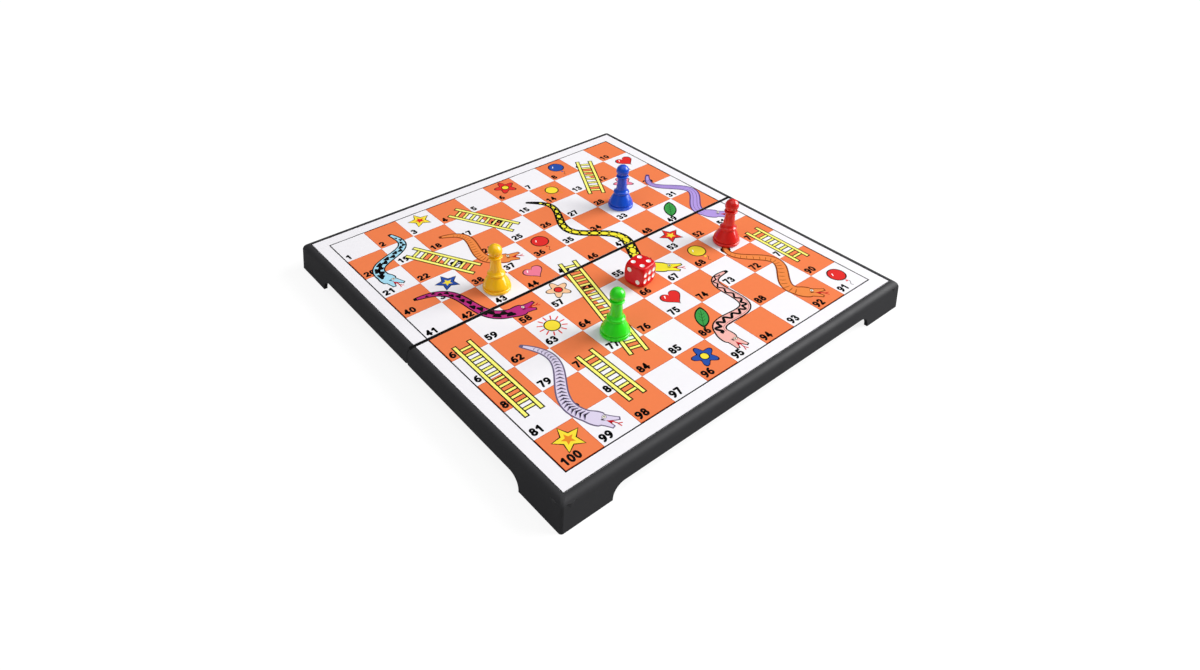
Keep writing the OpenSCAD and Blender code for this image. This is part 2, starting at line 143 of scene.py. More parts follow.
def ribbon(middle, half, layer, code, closed=False):
    """Flat stroke: four edges beside the middle line, left and right, on the sheet and at
    the layer's height, with a lid at both ends unless the line is closed."""
    middle = np.asarray(middle, float)
    count = len(middle)
    if closed:
        run = np.roll(middle, -1, axis=0) - np.roll(middle, 1, axis=0)
    else:
        run = np.gradient(middle, axis=0)
    run /= np.linalg.norm(run, axis=1, keepdims=True)
    left = beside(middle, run, np.broadcast_to(half, count))
    right = 2 * middle - left
    low, high = SHEET_TOP, level(layer)
    ring = [np.column_stack([edge, np.full(count, height)])
            for edge, height in ((left, low), (right, low), (right, high), (left, high))]
    faces = ring_quads(count, 4, closed).tolist()
    if not closed:
        faces += [list(range(4)), list(range(4 * count - 1, 4 * count - 5, -1))]
    return np.stack(ring, axis=1).reshape(-1, 3), faces, ink(code)


def pen(line, half, layer, code):
    """Stroke with round ends: before the first and after the last point, the half width
    follows a quarter circle."""
    line = np.asarray(line, float)
    first = line[1] - line[0]
    last = line[-1] - line[-2]
    ahead, width = half * compass(CAP_ANGLES).T
    start = line[0] - np.outer(ahead, first / np.linalg.norm(first))
    end = line[-1] + np.outer(ahead[::-1], last / np.linalg.norm(last))
    middle = np.concatenate([start[:-1], line, end[1:]])
    widths = np.concatenate([width[:-1], np.full(len(line), half), width[-2::-1]])
    return ribbon(middle, widths, layer, code)


print("ink layers from %.3f mm to %.3f mm over the sheet" % (
    (level(0) - SHEET_TOP) / MM, (level(7) - SHEET_TOP) / MM))

# %% [markdown]
# The other kind is a patch, a spot with any rim, for squares, marks and small pictures.
# Its lids are fans of triangles around a centre that sees the whole rim.

# %% Patches
def patch(rim, centre, layer, code):
    """Spot inside any rim that its centre can see: a lid of triangles at the bottom and at
    the top, and quads between them."""
    count = len(rim)
    low, high = SHEET_TOP, level(layer)
    points = np.concatenate([np.column_stack([rim, np.full(count, low)]),
                             np.column_stack([rim, np.full(count, high)]),
                             [[*centre, low], [*centre, high]]])
    here = np.arange(count)
    ahead = (here + 1) % count
    wall = np.column_stack([here, ahead, ahead + count, here + count])
    bottom = np.column_stack([ahead, here, np.full(count, 2 * count)])
    top = np.column_stack([here + count, ahead + count, np.full(count, 2 * count + 1)])
    return points, wall.tolist() + bottom.tolist() + top.tolist(), ink(code)


def blot(centre, reach, layer, code, turn=0.0):
    """Patch whose rim lies at the given reaches from its centre, at equal angles."""
    angle = turn + np.arange(len(reach)) * 2 * math.pi / len(reach)
    return patch(centre + compass(angle) * reach[:, None], centre, layer, code)


print("a round spot of 24 points has", len(blot((0, 0), np.full(24, MM), 0, "000000")[1]), "faces")

# %% [markdown]
# A joined list of shapes becomes one Blender mesh, with the colours in an attribute that
# the ink material reads. The board folds at its seam, so a picture that crosses the seam
# has to be cut there: each half keeps its side, and the cut is closed with new faces.
# Cutting the finished picture keeps both halves of it in line.

# %% From shapes to pieces
def join_shapes(shapes):
    """One list of points and one of faces, each shape's face numbers raised by the points
    before it, and a colour for each face corner."""
    points, faces, colours, start = [], [], [], 0
    for shape_points, shape_faces, colour in shapes:
        points.append(shape_points)
        faces += [[int(corner) + start for corner in face] for face in shape_faces]
        corners = sum(len(face) for face in shape_faces)
        colours.append(np.tile(np.append(colour, 1.0), (corners, 1)))
        start += len(shape_points)
    return np.concatenate(points), faces, np.concatenate(colours)


def new_mesh(name, points, faces, smooth=False):
    """Mesh from points and faces, with smooth shading where the piece is round."""
    mesh = bpy.data.meshes.new(name)
    mesh.from_pydata(np.asarray(points).tolist(), [], faces)
    mesh.polygons.foreach_set("use_smooth", np.full(len(mesh.polygons), smooth))
    mesh.update()
    return mesh


def new_object(name, data):
    """Object that shows a mesh, a lamp or a camera, in the scene."""
    made = bpy.data.objects.new(name, data)
    bpy.context.scene.collection.objects.link(made)
    return made


def new_piece(name, mesh, material, body, nodes=()):
    """Object that shows the mesh, rides on a body and stands for CAD nodes."""
    piece = new_object(name, mesh)
    mesh.materials.append(material)
    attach(piece, body)
    if nodes:
        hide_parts(*nodes)


def keep_side(mesh, side):
    """Cut a mesh at one sheet's seam edge, keep what lies on that sheet, close the cut."""
    work = bmesh.new()
    work.from_mesh(mesh)
    everything = work.verts[:] + work.edges[:] + work.faces[:]
    bmesh.ops.bisect_plane(work, geom=everything, dist=1e-8, plane_co=(0, side * SEAM_EDGE, 0),
                           plane_no=(0, side, 0), clear_inner=True)
    open_edges = [edge for edge in work.edges if edge.is_boundary]
    if open_edges:
        bmesh.ops.holes_fill(work, edges=open_edges, sides=0)
    work.to_mesh(mesh)
    work.free()


def printed(name, shapes, replaced=None):
    """Two pieces of one picture in ink, one for each half of the board."""
    points, faces, colours = join_shapes(shapes)
    for half, side in (("far", 1), ("near", -1)):
        mesh = new_mesh(half + "_" + name, points, faces)
        layer = mesh.color_attributes.new(name="ink", type="FLOAT_COLOR", domain="CORNER")
        layer.data.foreach_set("color", colours.ravel())
        keep_side(mesh, side)
        nodes = [half + "_" + replaced] if replaced else []
        new_piece(half + "_" + name, mesh, inks, half + "_half", nodes)
        print(mesh.name, len(mesh.polygons), "faces")

# %% [markdown]
# A finish is colour plus the small unevenness that light picks up. Materials are built
# from nodes, and each node takes settings, and inputs that are either plain values or the
# outputs of other nodes. One helper adds a node with all of that at once, so a material
# can be read from its inputs backwards.

# %% Helpers for nodes
def add_node(tree, kind, inputs=None, **settings):
    """Node of a kind with its settings. Each input is then set to a value or linked."""
    node = tree.nodes.new("ShaderNode" + kind)
    for title, value in settings.items():
        setattr(node, title, value)
    for title, value in (inputs or {}).items():
        if isinstance(value, bpy.types.NodeSocket):
            tree.links.new(value, node.inputs[title])
        else:
            node.inputs[title].default_value = value
    return node


def reckon(tree, operation, *terms):
    """Result of a Math node whose terms are numbers or sockets."""
    node = add_node(tree, "Math", dict(enumerate(terms)), operation=operation)
    return node.outputs["Value"]


def noise(tree, scale, detail, rough=0.6, place=None):
    """Noise from nought to one, in the object's own coordinates or at another place."""
    if place is None:
        place = add_node(tree, "TexCoord").outputs["Object"]
    node = add_node(tree, "TexNoise", {"Vector": place, "Scale": scale, "Detail": detail,
                                       "Roughness": rough})
    return node.outputs["Fac"]


def empty_tree(owner):
    """Nodes of a material or a world, without the ones that it starts with."""
    owner.use_nodes = True
    owner.node_tree.nodes.clear()
    return owner.node_tree


def paint(code):
    """Hex code as the colour of a socket, with full cover."""
    return (*ink(code), 1)


print("white for a socket:", paint("ffffff"))

# %% [markdown]
# Three effects come back on many of these materials, so each is a node group that is
# built once: the fine grain that a steel mould leaves on plastic, the way that hands make
# a surface glossier in some places than in others, and the faint cloudiness of a colour.
# The groups give only normals, values and colours that change over the surface. The
# shader with its constants stays in each material.

# %% Node groups for grain, handling and cloudiness
FLOAT, COLOUR, VECTOR = "NodeSocketFloat", "NodeSocketColor", "NodeSocketVector"


def new_group(name, inputs, output, kind):
    """Empty node group with named inputs and one output, and the nodes at its two ends."""
    group = bpy.data.node_groups.new(name, "ShaderNodeTree")
    for title, socket_kind, value in inputs:
        socket = group.interface.new_socket(name=title, in_out="INPUT", socket_type=socket_kind)
        socket.default_value = value
    group.interface.new_socket(name=output, in_out="OUTPUT", socket_type=kind)
    return group, group.nodes.new("NodeGroupInput"), group.nodes.new("NodeGroupOutput")


grain, given, result = new_group(
    "mould_grain", [("Scale", FLOAT, 2500.0), ("Strength", FLOAT, 0.1)], "Normal", VECTOR)
bump = add_node(grain, "Bump", {
    "Strength": given.outputs["Strength"], "Distance": 0.05 * MM,
    "Height": noise(grain, given.outputs["Scale"], 2.0, 0.55)})
grain.links.new(bump.outputs["Normal"], result.inputs["Normal"])

handling, given, result = new_group(
    "handling", [("Scale", FLOAT, 60.0), ("Least", FLOAT, 0.3), ("Most", FLOAT, 0.45)],
    "Roughness", FLOAT)
spread = add_node(handling, "MapRange", {
    "Value": noise(handling, given.outputs["Scale"], 4.0), "From Min": 0.3, "From Max": 0.7,
    "To Min": given.outputs["Least"], "To Max": given.outputs["Most"]})
handling.links.new(spread.outputs["Result"], result.inputs["Roughness"])

cloudy, given, result = new_group(
    "cloudiness", [("Colour", COLOUR, (1, 1, 1, 1)), ("Cloud", COLOUR, (0.9, 0.9, 0.9, 1)),
                   ("Scale", FLOAT, 120.0), ("Amount", FLOAT, 0.5)], "Colour", COLOUR)
share = reckon(cloudy, "MULTIPLY", noise(cloudy, given.outputs["Scale"], 4.0),
               given.outputs["Amount"])
blend = add_node(cloudy, "Mix", {"Factor": share, "A": given.outputs["Colour"],
                                 "B": given.outputs["Cloud"]}, data_type="RGBA")
cloudy.links.new(blend.outputs["Result"], result.inputs["Colour"])
print("groups:", [group.name for group in bpy.data.node_groups])

# %% [markdown]
# Each plastic of the set is one family: a colour that is a little cloudy, a gloss that
# varies, and a grain. The case is satin black, the pegs and the die are polished under a
# thin clear skin, and the links are left as they come from the mould. One function makes
# them all, because only the numbers differ. The case's two lips at the seam lie in each
# other's shade, and a mask by place paints that shade into the plastic as near black.

# %% Plastics
def finish(material, tint, sheen, normal, constants):
    """Shader whose colour is cloudy and whose gloss is handled, with a given normal and
    with constants on its own sockets."""
    tree = material.node_tree
    colour = add_node(tree, "Group", tint, node_tree=cloudy).outputs["Colour"]
    gloss = add_node(tree, "Group", sheen, node_tree=handling).outputs["Roughness"]
    shader = add_node(tree, "BsdfPrincipled", {
        "Base Color": colour, "Roughness": gloss, "Normal": normal, **constants})
    add_node(tree, "OutputMaterial", {"Surface": shader.outputs["BSDF"]})
    return material


def plastic(name, code, cloud_code, gloss, grain_scale, grain_strength, coat=0.0, mirror=0.5):
    """Cloudy colour, roughness between the two gloss values, mould grain, a clear coat, and
    how strongly the surface mirrors."""
    material = bpy.data.materials.new(name)
    skin = add_node(empty_tree(material), "Group", {
        "Scale": grain_scale, "Strength": grain_strength}, node_tree=grain)
    tint = {"Colour": paint(code), "Cloud": paint(cloud_code), "Scale": 90.0, "Amount": 0.8}
    sheen = {"Scale": 55.0, "Least": gloss[0], "Most": gloss[1]}
    return finish(material, tint, sheen, skin.outputs["Normal"], {
        "Coat Weight": coat, "Coat Roughness": 0.1, "Specular IOR Level": mirror})


def darken_seam(material):
    """Painted shade, nearly black, on a seam lip: closer to the hinge line than the sheet's
    seam edge, and near the top. Each test gives one or nought, and their product blends
    the colours."""
    tree = material.node_tree
    where = add_node(tree, "TexCoord").outputs["Object"]
    place = add_node(tree, "SeparateXYZ", {"Vector": where}).outputs
    off_seam = reckon(tree, "ABSOLUTE", place["Y"])
    on_lip = reckon(tree, "LESS_THAN", off_seam, SEAM_EDGE + 0.05 * MM)
    on_top = reckon(tree, "GREATER_THAN", place["Z"], SHEET_TOP - 0.5 * MM)
    base = tree.nodes["Principled BSDF"].inputs["Base Color"]
    darker = add_node(tree, "Mix", {
        "Factor": reckon(tree, "MULTIPLY", on_lip, on_top), "A": base.links[0].from_socket,
        "B": paint("0d0d0e")}, data_type="RGBA")
    tree.links.new(darker.outputs["Result"], base)


case_plastic = plastic("satin_black_case", "373739", "313133", (0.50, 0.60), 1800.0, 0.25,
                       mirror=0.2)
# Paint the shade of the seam lips into the case plastic.
darken_seam(case_plastic)
link_plastic = plastic("moulded_links", "3d3d40", "323235", (0.45, 0.6), 1500.0, 0.45)
PEG_COLOURS = {"yellow": ("ffc608", "ffc106"), "blue": ("0450d6", "034cce"),
               "red": ("de1810", "d6150e"), "green": ("2ae816", "26e013")}
PEG_PLASTICS = {name: plastic(name + "_peg_plastic", *codes, (0.18, 0.26), 900.0, 0.05,
                              coat=0.55, mirror=0.4) for name, codes in PEG_COLOURS.items()}
die_plastic = plastic("red_die_plastic", "dc0b16", "d00711", (0.16, 0.24), 900.0, 0.03,
                      coat=0.12, mirror=0.35)
pip_paint = plastic("white_pip_paint", "ffffff", "f2f0ee", (0.30, 0.42), 2500.0, 0.15)
print("plastics:", case_plastic.name, link_plastic.name, die_plastic.name, *PEG_PLASTICS)

# %% [markdown]
# The steel sheet, the hinge pins and the magnets are metal. Rolled steel has long faint
# lines from the rollers, drawn pins shine evenly, and magnets carry a nickel plating with
# soft stains. A noise that is stretched along one direction gives the rolling lines.

# %% Metals
def metal(name, code, cloud_code, gloss, stretch):
    """Metallic shader whose bump is a noise stretched by three factors, for rolled or drawn
    lines."""
    material = bpy.data.materials.new(name)
    tree = empty_tree(material)
    where = add_node(tree, "TexCoord").outputs["Object"]
    drawn = add_node(tree, "Mapping", {"Vector": where, "Scale": stretch}).outputs["Vector"]
    lines = add_node(tree, "Bump", {
        "Strength": 0.15, "Distance": 0.02 * MM, "Height": noise(tree, 1.0, 3.0, 0.55, drawn)})
    tint = {"Colour": paint(code), "Cloud": paint(cloud_code), "Scale": 150.0, "Amount": 0.8}
    sheen = {"Scale": 90.0, "Least": gloss[0], "Most": gloss[1]}
    return finish(material, tint, sheen, lines.outputs["Normal"], {"Metallic": 1.0})


rolled_steel = metal("rolled_steel", "b9bbbe", "9da0a4", (0.28, 0.42), (40, 2500, 2500))
drawn_pin = metal("drawn_pin_steel", "cfd1d4", "b7babf", (0.18, 0.28), (30, 4000, 4000))
nickel = metal("nickel_plated_magnet", "c9c6c0", "aaa8a4", (0.20, 0.36), (900, 900, 900))
print("metals:", rolled_steel.name, drawn_pin.name, nickel.name)

# %% [markdown]
# The printed sheet is a white laminate, very slightly lavender, with a cloudiness that
# only shows up close. The inks share one material: it reads the colour that each shape
# carries, breaks it up a little as real screen print does, and has the laminate's gloss.
# An attribute suits this better than many materials, because one drawing has many colours.

# %% Laminate and inks
def laminate(material, colour, cloud):
    """Print finish with the laminate's gloss and grain. The two colours are values or
    sockets."""
    skin = add_node(material.node_tree, "Group", {"Scale": 1200.0, "Strength": 0.12},
                    node_tree=grain)
    tint = {"Colour": colour, "Cloud": cloud, "Scale": 400.0, "Amount": 0.35}
    sheen = {"Scale": 30.0, "Least": 0.42, "Most": 0.54}
    finish(material, tint, sheen, skin.outputs["Normal"], {"Specular IOR Level": 0.03})


white_laminate = bpy.data.materials.new("white_laminate")
empty_tree(white_laminate)
laminate(white_laminate, paint("f2f0f4"), paint("e9e7ec"))

inks = bpy.data.materials.new("screen_inks")
ink_tree = empty_tree(inks)
carried = add_node(ink_tree, "Attribute", attribute_name="ink").outputs["Color"]
darker = add_node(ink_tree, "Mix", {"Factor": 1.0, "A": carried, "B": (0.86, 0.86, 0.86, 1)},
                  data_type="RGBA", blend_type="MULTIPLY")
laminate(inks, carried, darker.outputs["Result"])
print("print finishes:", white_laminate.name, inks.name)

# %% [markdown]
# Most solid parts already have their true shape from the CAD: the two case halves, the
# steel and printed sheets, the links, pins and magnets. They stay as they are and only
# get their finish.

# %% Dress the CAD parts
PART_FINISHES = [
    (case_plastic, ["far_case", "near_case"]),
    (rolled_steel, ["far_steel_sheet", "near_steel_sheet"]),
    (white_laminate, ["far_print_sheet", "near_print_sheet"]),
    (link_plastic, ["hinge_link_left", "hinge_link_right"]),
    (drawn_pin, ["far_hinge_pins", "near_hinge_pins"]),
    (nickel, ["far_closing_magnets", "near_closing_magnets", "yellow_peg_magnet",
              "blue_peg_magnet", "red_peg_magnet", "green_peg_magnet"])]
for material, parts in PART_FINISHES:
    for part in parts:
        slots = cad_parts[part].data.materials
        if len(slots):
            slots[0] = material
        else:
            slots.append(material)
    print(material.name, "on", len(parts), "parts")

# %% [markdown]
# The field is a hundred squares, white and orange in turn. White is the bare sheet, so
# only the orange ones are printed, each inside a hairline of a darker orange that keeps
# neighbouring colours apart. A black line runs round the whole field. A thinner black line
# along the sheet's outer edge is painted shade, for the dark gap between sheet and case.

# %% Orange squares, the border line and the painted rim shade
ORANGE, HAIRLINE, BLACK, WHITE = "ef8150", "c04a22", "101012", "ffffff"
# The last width belongs to a line of painted shade along the sheet's outer edge.
HAIRLINE_WIDTH, FIELD_LINE, RIM_SHADE_LINE = 0.26 * MM, 0.34 * MM, 0.2 * MM


def tile(column, row, inset, layer, code):
    """Square of the field, drawn in from its edges by the inset."""
    far_left = at(column, row) + np.array([inset, -inset])
    near_right = at(column + 1, row + 1) + np.array([-inset, inset])
    rim = np.array([[far_left[0], near_right[1]], near_right,
                    [near_right[0], far_left[1]], far_left])
    return patch(rim, (far_left + near_right) / 2, layer, code)


def frame_lines(reach, half, layer):
    """Four straight strokes round the board's middle, at a reach and of a half width."""
    lines = []
    for side in (-1, 1):
        for ends in ([(-reach - half, side * reach), (reach + half, side * reach)],
                     [(side * reach, -reach - half), (side * reach, reach + half)]):
            lines.append(ribbon(ends, half, layer, BLACK))
    return lines


orange_places = [(column, row) for row in range(10) for column in range(10)
                 if (column + row) % 2]
printed("orange_print", [tile(*place, HAIRLINE_WIDTH, 1, ORANGE) for place in orange_places],
        "orange_squares")
printed("square_hairlines", [tile(*place, 0, 0, HAIRLINE) for place in orange_places])
# The thin outer frame is painted shade of the gap between the sheet and the case.
printed("border_and_rim_shade_lines", frame_lines(CELL * 5 + FIELD_LINE, FIELD_LINE, 2)
        + frame_lines(SHEET_EDGE - RIM_SHADE_LINE, RIM_SHADE_LINE, 0))

# %% [markdown]
# Every square carries its number in the corner towards the player. Numerals like these
# are pen strokes: straight lines and parts of ellipses, all of one width, with round
# ends. So each digit is kept as a few centre lines in a box one unit high, which are
# scaled and moved to where the digit stands, and the pen gives them their width. The
# count runs to and fro, row by row, from the far side.

# %% Numerals
def arc(middle, radii, start, end, count=12):
    """Part of an ellipse: cosine and sine of evenly spaced angles, given in degrees, times
    the two radii."""
    return np.asarray(middle) + compass(np.radians(np.linspace(start, end, count))) * radii


def loop(middle, radii):
    """Whole ellipse without its repeated last point."""
    return arc(middle, radii, 0, 360, 23)[:-1]


six_bowl = loop((0.33, 0.33), (0.21, 0.22))
six_tail = arc((0.54, 0.36), (0.42, 0.54), 100, 178)
turned = np.array([0.66, 1.0])
two_bow = arc((0.32, 0.67), (0.21, 0.22), 165, -35)
DIGIT_LINES = {
    "0": ([loop((0.33, 0.5), (0.21, 0.39))], []),
    "1": ([], [[(0.16, 0.70), (0.38, 0.89)], [(0.38, 0.89), (0.38, 0.11)]]),
    "2": ([], [np.vstack([two_bow, [(0.13, 0.11)]]), [(0.13, 0.11), (0.54, 0.11)]]),
    "3": ([], [arc((0.30, 0.69), (0.19, 0.20), 150, -85),
               arc((0.30, 0.31), (0.22, 0.20), 85, -150)]),
    "4": ([], [[(0.42, 0.89), (0.11, 0.34)], [(0.11, 0.34), (0.57, 0.34)],
               [(0.42, 0.89), (0.42, 0.11)]]),
    "5": ([], [[(0.52, 0.89), (0.18, 0.89)], [(0.18, 0.89), (0.15, 0.54)],
               arc((0.31, 0.35), (0.22, 0.24), 135, -145)]),
    "6": ([six_bowl], [six_tail]),
    "7": ([], [[(0.11, 0.89), (0.54, 0.89)], [(0.54, 0.89), (0.27, 0.11)]]),
    "8": ([loop((0.33, 0.70), (0.18, 0.19)), loop((0.33, 0.31), (0.22, 0.20))], []),
    "9": ([turned - six_bowl], [turned - six_tail])}
DIGIT_HEIGHT, DIGIT_PITCH, PEN_HALF = 4.9 * MM, 3.5 * MM, 0.6125 * MM
NUMBER_CORNER = np.array([1.25, 1.7]) * MM


def set_number(number, column, row):
    """The number's digits side by side from the corner of its square: closed strokes with
    the ribbon, open ones with the pen."""
    made = []
    for place, digit in enumerate(str(number)):
        corner = at(column, row + 1) + NUMBER_CORNER + [place * DIGIT_PITCH, 0]
        rings, strokes = DIGIT_LINES[digit]
        made += [ribbon(corner + ring * DIGIT_HEIGHT, PEN_HALF, 2, BLACK, closed=True)
                 for ring in rings]
        made += [pen(corner + np.array(stroke) * DIGIT_HEIGHT, PEN_HALF, 2, BLACK)
                 for stroke in strokes]
    return made


numerals = []
for row in range(10):
    for column in range(10):
        step = column if row % 2 == 0 else 9 - column
        numerals += set_number(10 * row + step + 1, column, row)
printed("numerals", numerals)

# %% [markdown]
# A ladder is two rails with rungs between them, pale yellow with a black outline. On
# paper an outline is simply a wider black stroke under the yellow one. The rungs lie
# under the rails, so the rails' outlines cut their ends cleanly. Each ladder is given by
# the places of its foot and its top on the field.

# %% Ladders
LADDERS = [((3.5, 0.6), (4.5, 2.4)), ((1.5, 1.6), (2.5, 3.4)), ((8.5, 0.6), (7.5, 2.4)),
           ((4.5, 4.6), (3.5, 8.4)), ((0.5, 5.6), (0.5, 8.4)), ((9.5, 6.6), (9.5, 8.4)),
           ((2.5, 7.6), (2.5, 9.4))]
LADDER_HALF, RAIL_HALF, RUNG_HALF = 6.0 * MM, 1.5 * MM, 1.35 * MM
RUNG_PITCH, INK_LINE = 4.65 * MM, 0.66 * MM
PALE_YELLOW = "fbf67c"


def outlined(line, half, layer):
    """Black stroke with the yellow one over it, narrower by the ink line all round."""
    line = np.asarray(line, float)
    run = (line[-1] - line[0]) / np.linalg.norm(line[-1] - line[0]) * INK_LINE
    return [ribbon(line, half, layer, BLACK),
            ribbon([line[0] + run, line[-1] - run], half - INK_LINE, layer + 1, PALE_YELLOW)]


def ladder(foot_place, top_place):
    """Rungs at equal steps along the line from foot to top, and a rail on either side."""
    foot, top = at(*foot_place), at(*top_place)
    length = np.linalg.norm(top - foot)
    along = (top - foot) / length
    rail = np.array([-along[1], along[0]]) * (LADDER_HALF - RAIL_HALF)
    count = int((length - RUNG_PITCH) // RUNG_PITCH)
    shapes = []
    for rung in range(1, count + 1):
        middle = foot + along * length * rung / (count + 1)
        shapes += outlined([middle - rail, middle + rail], RUNG_HALF, 3)
    for side in (-rail, rail):
        shapes += outlined([foot + side, top + side], RAIL_HALF, 5)
    return shapes


ladder_shapes = []
for places in LADDERS:
    ladder_shapes += ladder(*places)
printed("ladder_print", ladder_shapes, "ladders")

# %% [markdown]
# A snake is a wavy line with a width that is largest behind the head and fades to
# nothing at the tail. The wave is a sine of the way along the snake. Marks are placed by
# that same way, so spots sit on the back and bands run square to the body wherever it
# turns. A route is the places of head and tail on the field and the number of waves.

# %% The snakes' bodies
SNAKE_HALF, SNAKE_SWING, EDGE = 3.4 * MM, 7.5 * MM, 0.72 * MM
SNOUT_SHARE, HEAD_SHARE, HEAD_SWELL, TAIL_POWER = 0.03, 0.12, 0.25, 0.42
SNAKE_YELLOW = "f6ea3c"


def snake_line(route, share):
    """Point and direction at a share of the way: straight from head to tail, plus a sine
    wave sideways."""
    head_place, tail_place, waves = route
    start = at(*head_place)
    way = at(*tail_place) - start
    swing = np.array([-way[1], way[0]]) / np.linalg.norm(way) * SNAKE_SWING
    share = np.asarray(share, float)[:, None]
    angle = 2 * np.pi * waves * share
    run = way + swing * 2 * np.pi * waves * np.cos(angle)
    middle = start + way * share + swing * np.sin(angle)
    return middle, run / np.linalg.norm(run, axis=1, keepdims=True)


def snake_half(share):
    """Half width: a rounded snout, a head that swells like half a sine, and a tail that
    thins as a power of what is left."""
    share = np.asarray(share, float)
    snout = np.minimum(1, np.sqrt(share / SNOUT_SHARE))
    swell = 1 + HEAD_SWELL * np.sin(np.pi * np.minimum(share, HEAD_SHARE) / HEAD_SHARE)
    return SNAKE_HALF * snout * swell * np.maximum(1 - share, 0) ** TAIL_POWER


def body(route, code, edge_code):
    """Dark stroke and coloured stroke over it, both as wide as the snake at each place."""
    share = np.linspace(0.0004, 0.9996, 120)
    line, _ = snake_line(route, share)
    half = snake_half(share)
    inner = np.maximum(half - 0.08 * MM, 0.04 * MM)
    return [ribbon(line, half + EDGE * np.minimum(1, share / 0.004 + 0.3), 3, edge_code),
            ribbon(line[1:-3], inner[1:-3], 4, code)]


print("snake at its widest %.2f mm" % (2 * snake_half(np.linspace(0, 1, 200)).max() / MM))

# %% [markdown]
# Each snake has markings of its own: yellow ovals on a black back, a line that turns from
# side to side, blotches, creases, chevrons or thin stripes. A mark is a small outline
# given along and across the body, in shares of the half width, so it shrinks with the
# body towards the tail.

# %% Marks on the snakes
ROUND = compass(np.arange(10) * 0.2 * np.pi)
OVAL = ROUND * [0.98, 0.62]
DOT = ROUND * [0.3, 0.16]
BLOTCH = ROUND * [0.8, 0.56] * (1 + 0.28 * np.sin(np.arange(10) * 1.9))[:, None]
CREASE = [(-0.12, 0.92), (-0.2, 0.3), (-0.06, -0.4), (0.02, -0.35), (-0.02, 0.3),
          (-0.02, 0.92)]
CHEVRON = [(-0.42, 0.86), (0.18, 0.0), (-0.42, -0.86), (-0.26, -0.86), (0.36, 0.0),
           (-0.26, 0.86)]


def stamp(outline, middle, run, size, layer, code):
    """Spot whose outline, given along and across, is turned into the body's direction and
    scaled by the size."""
    outline = np.asarray(outline, float) * size
    rim = middle + outline[:, :1] * run + outline[:, 1:] * np.array([-run[1], run[0]])
    return patch(rim, rim.mean(axis=0), layer, code)


def marks(route, outline, shares, layer, code, lift=0.0):
    """One mark at each share of the way, moved sideways by a lift in half widths."""
    line, run = snake_line(route, shares)
    half = snake_half(shares)
    middle = beside(line, run, half * lift)
    return [stamp(outline, *one, layer, code) for one in zip(middle, run, half)]


def stroke(route, share, offset, half, layer, code):
    """Line along the body, at an offset from its middle."""
    line, run = snake_line(route, share)
    return ribbon(beside(line, run, offset), half, layer, code)


def ovals(route):
    """A black back from neck to tail, ovals of the body's yellow down its middle, and small
    ones along both its edges between them."""
    share = np.linspace(0.1, 0.985, 100)
    places = np.linspace(0.115, 0.93, 20)
    between = (places[1:] + places[:-1]) / 2
    return ([stroke(route, share, 0, 0.98 * snake_half(share), 5, BLACK)]
            + marks(route, OVAL, places, 6, SNAKE_YELLOW)
            + marks(route, DOT, between, 6, SNAKE_YELLOW, 0.72)
            + marks(route, DOT, between, 6, SNAKE_YELLOW, -0.72))


def zigzag(route):
    """A heavy black line down the back that swings from side to side, as a sine with fifteen
    waves from snout to tail, and a thin one along the belly."""
    share = np.linspace(0.1, 0.93, 140)
    half = snake_half(share)
    turns = (0.2 + 0.46 * np.sin(share * 30 * math.pi)) * half
    belly = np.linspace(0.1, 0.93, 80)
    return [stroke(route, share, turns, 0.24 * half + 0.1 * MM, 5, BLACK),
            stroke(route, belly, -0.7 * snake_half(belly), 0.1 * MM, 6, "6d4450")]


def blotches(route):
    """Black blotches along the back, every other one moved aside."""
    places = np.linspace(0.13, 0.9, 15)
    return (marks(route, BLOTCH, places[::2], 5, BLACK, 0.28)
            + marks(route, BLOTCH, places[1::2], 5, BLACK, -0.3))


def creases(route):
    """Short dark lines from one side, as a hand draws scales."""
    return marks(route, CREASE, np.linspace(0.12, 0.86, 20), 5, "9c4a1e")


def chevrons(route):
    """Thin chevrons that point along the body, close together."""
    return marks(route, CHEVRON, np.linspace(0.13, 0.9, 26), 5, "8d82a4")


def stripes(route):
    """Two thin lines that follow the body at four tenths of the half width."""
    share = np.linspace(0.12, 0.92, 70)
    return [stroke(route, share, side * 0.42 * snake_half(share), 0.16 * MM, 5, "6a569a")
            for side in (-1, 1)]


print("mark points:", len(OVAL), len(BLOTCH), len(CREASE), len(CHEVRON))

# %% [markdown]
# A head looks away from the body, with its jaws apart and a forked tongue between them.
# The jaws are strokes that bend away from each other and grow thinner towards their tips.
# Everything is drawn in the frame of the head, in millimetres: how far ahead of the
# body's end, and how far to the side.

# %% Heads
JAWS = ((1, 8.4, 1.9), (-1, 7.0, 1.7))
JAW_ROOT, JAW_ASIDE, JAW_THICK, JAW_THINNING = 2.6, 1.35, 1.9, 1.45
MOUTH = [(-1.0, 0), (1.2, -1.4), (3.4, -2.3), (2.7, 0), (4.2, 2.6), (1.2, 1.5)]
TONGUE, FORKS = [(0.6, 0), (3.2, 0.25), (5.4, -0.1)], [(7.2, 0.9), (7.3, -1.1)]
EYE = (-1.6, 1.9)
MOUTH_RED, TONGUE_RED, EYE_WHITE = "8e1420", "d31f2b", "fffbe8"


